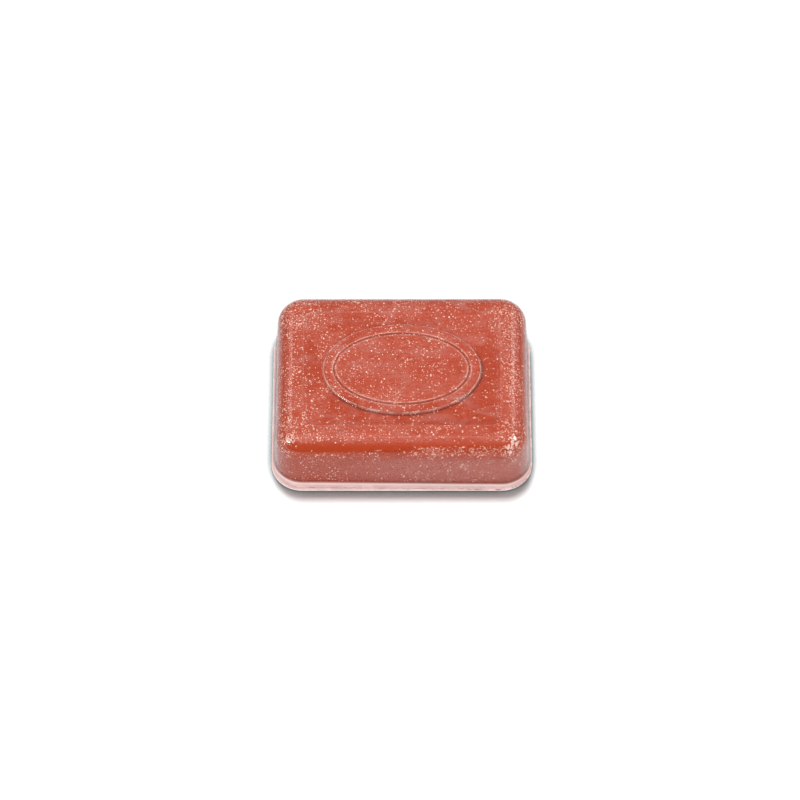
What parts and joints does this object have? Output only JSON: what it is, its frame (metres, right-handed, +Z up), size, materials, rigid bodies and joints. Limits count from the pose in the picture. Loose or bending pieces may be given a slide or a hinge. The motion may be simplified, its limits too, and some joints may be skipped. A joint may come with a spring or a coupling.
{
  "type": "cue chalk block in clear tray",
  "caption": "Low rounded bar of cast red chalk compound in a thin clear formed tray, stood open side down; the tray lifts off the bar.",
  "frame": {"origin": "middle of the tray's footprint, on the plane that its flange rests on", "axes": "+X along the length, +Y to the back, +Z up, away from the tray's open mouth"},
  "size_m": [0.06, 0.047, 0.016],
  "materials": {
    "clear_sheet": "clear, glossy, lightly scuffed",
    "red_compound": "cast, slightly translucent, speckled with small bubbles"
  },
  "bodies": {
    "block": {"chalk_block": "red_compound"},
    "tray": {"clear_tray": "clear_sheet"}
  },
  "joints": [
    {"name": "tray_lift", "type": "slide", "parent": "block", "child": "tray", "axis": [0, 0, 1], "range_m": [0, 0.02]}
  ]
}
